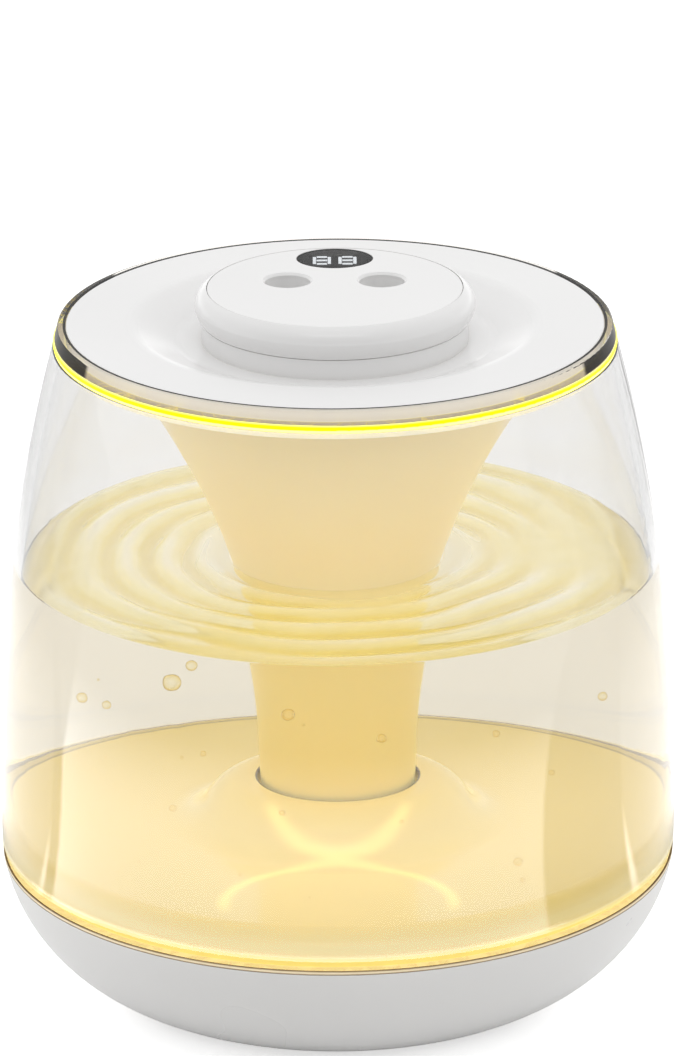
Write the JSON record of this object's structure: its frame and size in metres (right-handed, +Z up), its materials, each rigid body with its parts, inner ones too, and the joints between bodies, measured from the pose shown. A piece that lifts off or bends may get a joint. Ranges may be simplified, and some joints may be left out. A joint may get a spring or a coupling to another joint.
{
  "type": "cool mist humidifier",
  "caption": "Table-top cool mist humidifier: clear bell tank on a white bowl, lift-out lid with trumpet column, light ring, wicks, and a round cap with mist openings and display.",
  "frame": {"origin": "on the standing surface, under the middle of the tank", "axes": "+Z up along the tank's axis, front towards -Y (the display is at the back of the cap and reads from the front), +X to the right seen from the front"},
  "size_m": [0.2, 0.2, 0.2113],
  "materials": {
    "white_shell": "satin moulded",
    "white_lid": "satin moulded",
    "white_column": "satin moulded, slightly translucent",
    "white_floor": "satin moulded",
    "grey_plastic": "moulded",
    "clear_wall": "polished clear",
    "clear_rim": "polished clear",
    "light_guide": "frosted, lit yellow",
    "dark_window": "smoked gloss",
    "rubber": "matt",
    "silicone": "matt",
    "dark_seal": "matt",
    "steel": "plated",
    "disc_steel": "polished, with a ceramic ring",
    "contact_gold": "gold plated",
    "board_green": "solder mask",
    "flex_white": "flexible circuit",
    "flex_amber": "flexible circuit",
    "chip_black": "moulded",
    "lamp": "lamp lens",
    "segment": "lit",
    "cotton": "compressed cotton"
  },
  "bodies": {
    "base": {"base_shell": "white_shell", "bottom_plate": "white_shell", "rubber_feet": "rubber", "plate_screws": "steel", "base_seal": "dark_seal", "tank_wall": "clear_wall", "tank_floor": "white_floor"},
    "lid": {"lid_plate": "white_lid", "rim_ring": "clear_rim", "light_ring": "light_guide", "lid_gasket": "silicone", "led_strip": "flex_white", "led_lamps": "lamp", "led_ribbon": "flex_amber", "mist_column": "white_column", "foot_strainer": "grey_plastic", "module_collar": "white_lid", "driver_board": "board_green", "driver_parts": "chip_black", "usb_inlet": "steel", "module_screws": "steel", "contact_pins": "contact_gold", "wick_tube_left": "white_column", "wick_tube_right": "white_column", "wick_spring_left": "steel", "wick_spring_right": "steel", "disc_gasket_left": "silicone", "disc_gasket_right": "silicone", "atomiser_disc_left": "disc_steel", "atomiser_disc_right": "disc_steel"},
    "cap": {"cap_shell": "white_lid", "top_plate": "white_lid", "nozzle_left": "white_lid", "nozzle_right": "white_lid", "display_board": "board_green", "display_screws": "steel", "display_module": "chip_black", "display_segments": "segment", "key_switches": "chip_black"},
    "display_key": {"display_window": "dark_window"},
    "wick_left_body": {"wick_left": "cotton"},
    "wick_right_body": {"wick_right": "cotton"}
  },
  "joints": [
    {"name": "lid_lift", "type": "slide", "parent": "base", "child": "lid", "axis": [0, 0, 1], "range_m": [0, 0.17]},
    {"name": "cap_lift", "type": "slide", "parent": "lid", "child": "cap", "axis": [0, 0, 1], "range_m": [0, 0.025]},
    {"name": "display_press", "type": "slide", "parent": "cap", "child": "display_key", "axis": [0, 0, -1], "range_m": [0, 0.0004], "stiffness_N_per_m": 1500, "springref_m": -0.0001},
    {"name": "wick_left_press", "type": "slide", "parent": "lid", "child": "wick_left_body", "axis": [0, 0, -1], "range_m": [0, 0.003], "stiffness_N_per_m": 150, "springref_m": -0.003, "deforming": ["wick_spring_left"]},
    {"name": "wick_right_press", "type": "slide", "parent": "lid", "child": "wick_right_body", "axis": [0, 0, -1], "range_m": [0, 0.003], "stiffness_N_per_m": 150, "springref_m": -0.003, "deforming": ["wick_spring_right"]}
  ]
}
